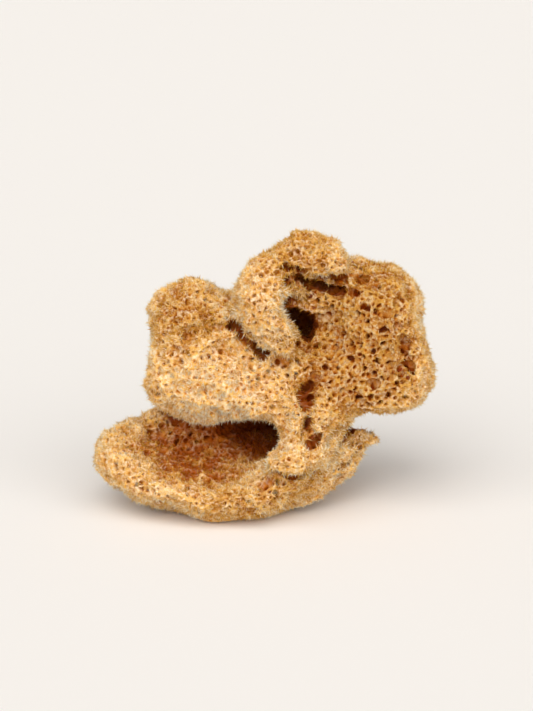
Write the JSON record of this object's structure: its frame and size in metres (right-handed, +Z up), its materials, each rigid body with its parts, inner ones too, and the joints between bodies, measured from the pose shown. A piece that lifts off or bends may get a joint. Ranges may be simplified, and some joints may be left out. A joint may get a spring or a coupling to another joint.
{
  "type": "sea sponge",
  "caption": "Dry natural bath sponge: a porous, fibrous honey-coloured mass of rounded lobes folded over a boat-shaped foot, for soaking up and wiping water.",
  "frame": {"origin": "on the surface the sponge lies on, under the middle of its bounding box", "axes": "+X along the boat-shaped foot, to the right in the picture; +Y to the back; +Z up"},
  "size_m": [0.1304, 0.0764, 0.1077],
  "materials": {
    "sponge_fibre": "matte, fibrous and open-pored"
  },
  "bodies": {
    "root": {"sponge": "sponge_fibre"}
  },
  "joints": []
}
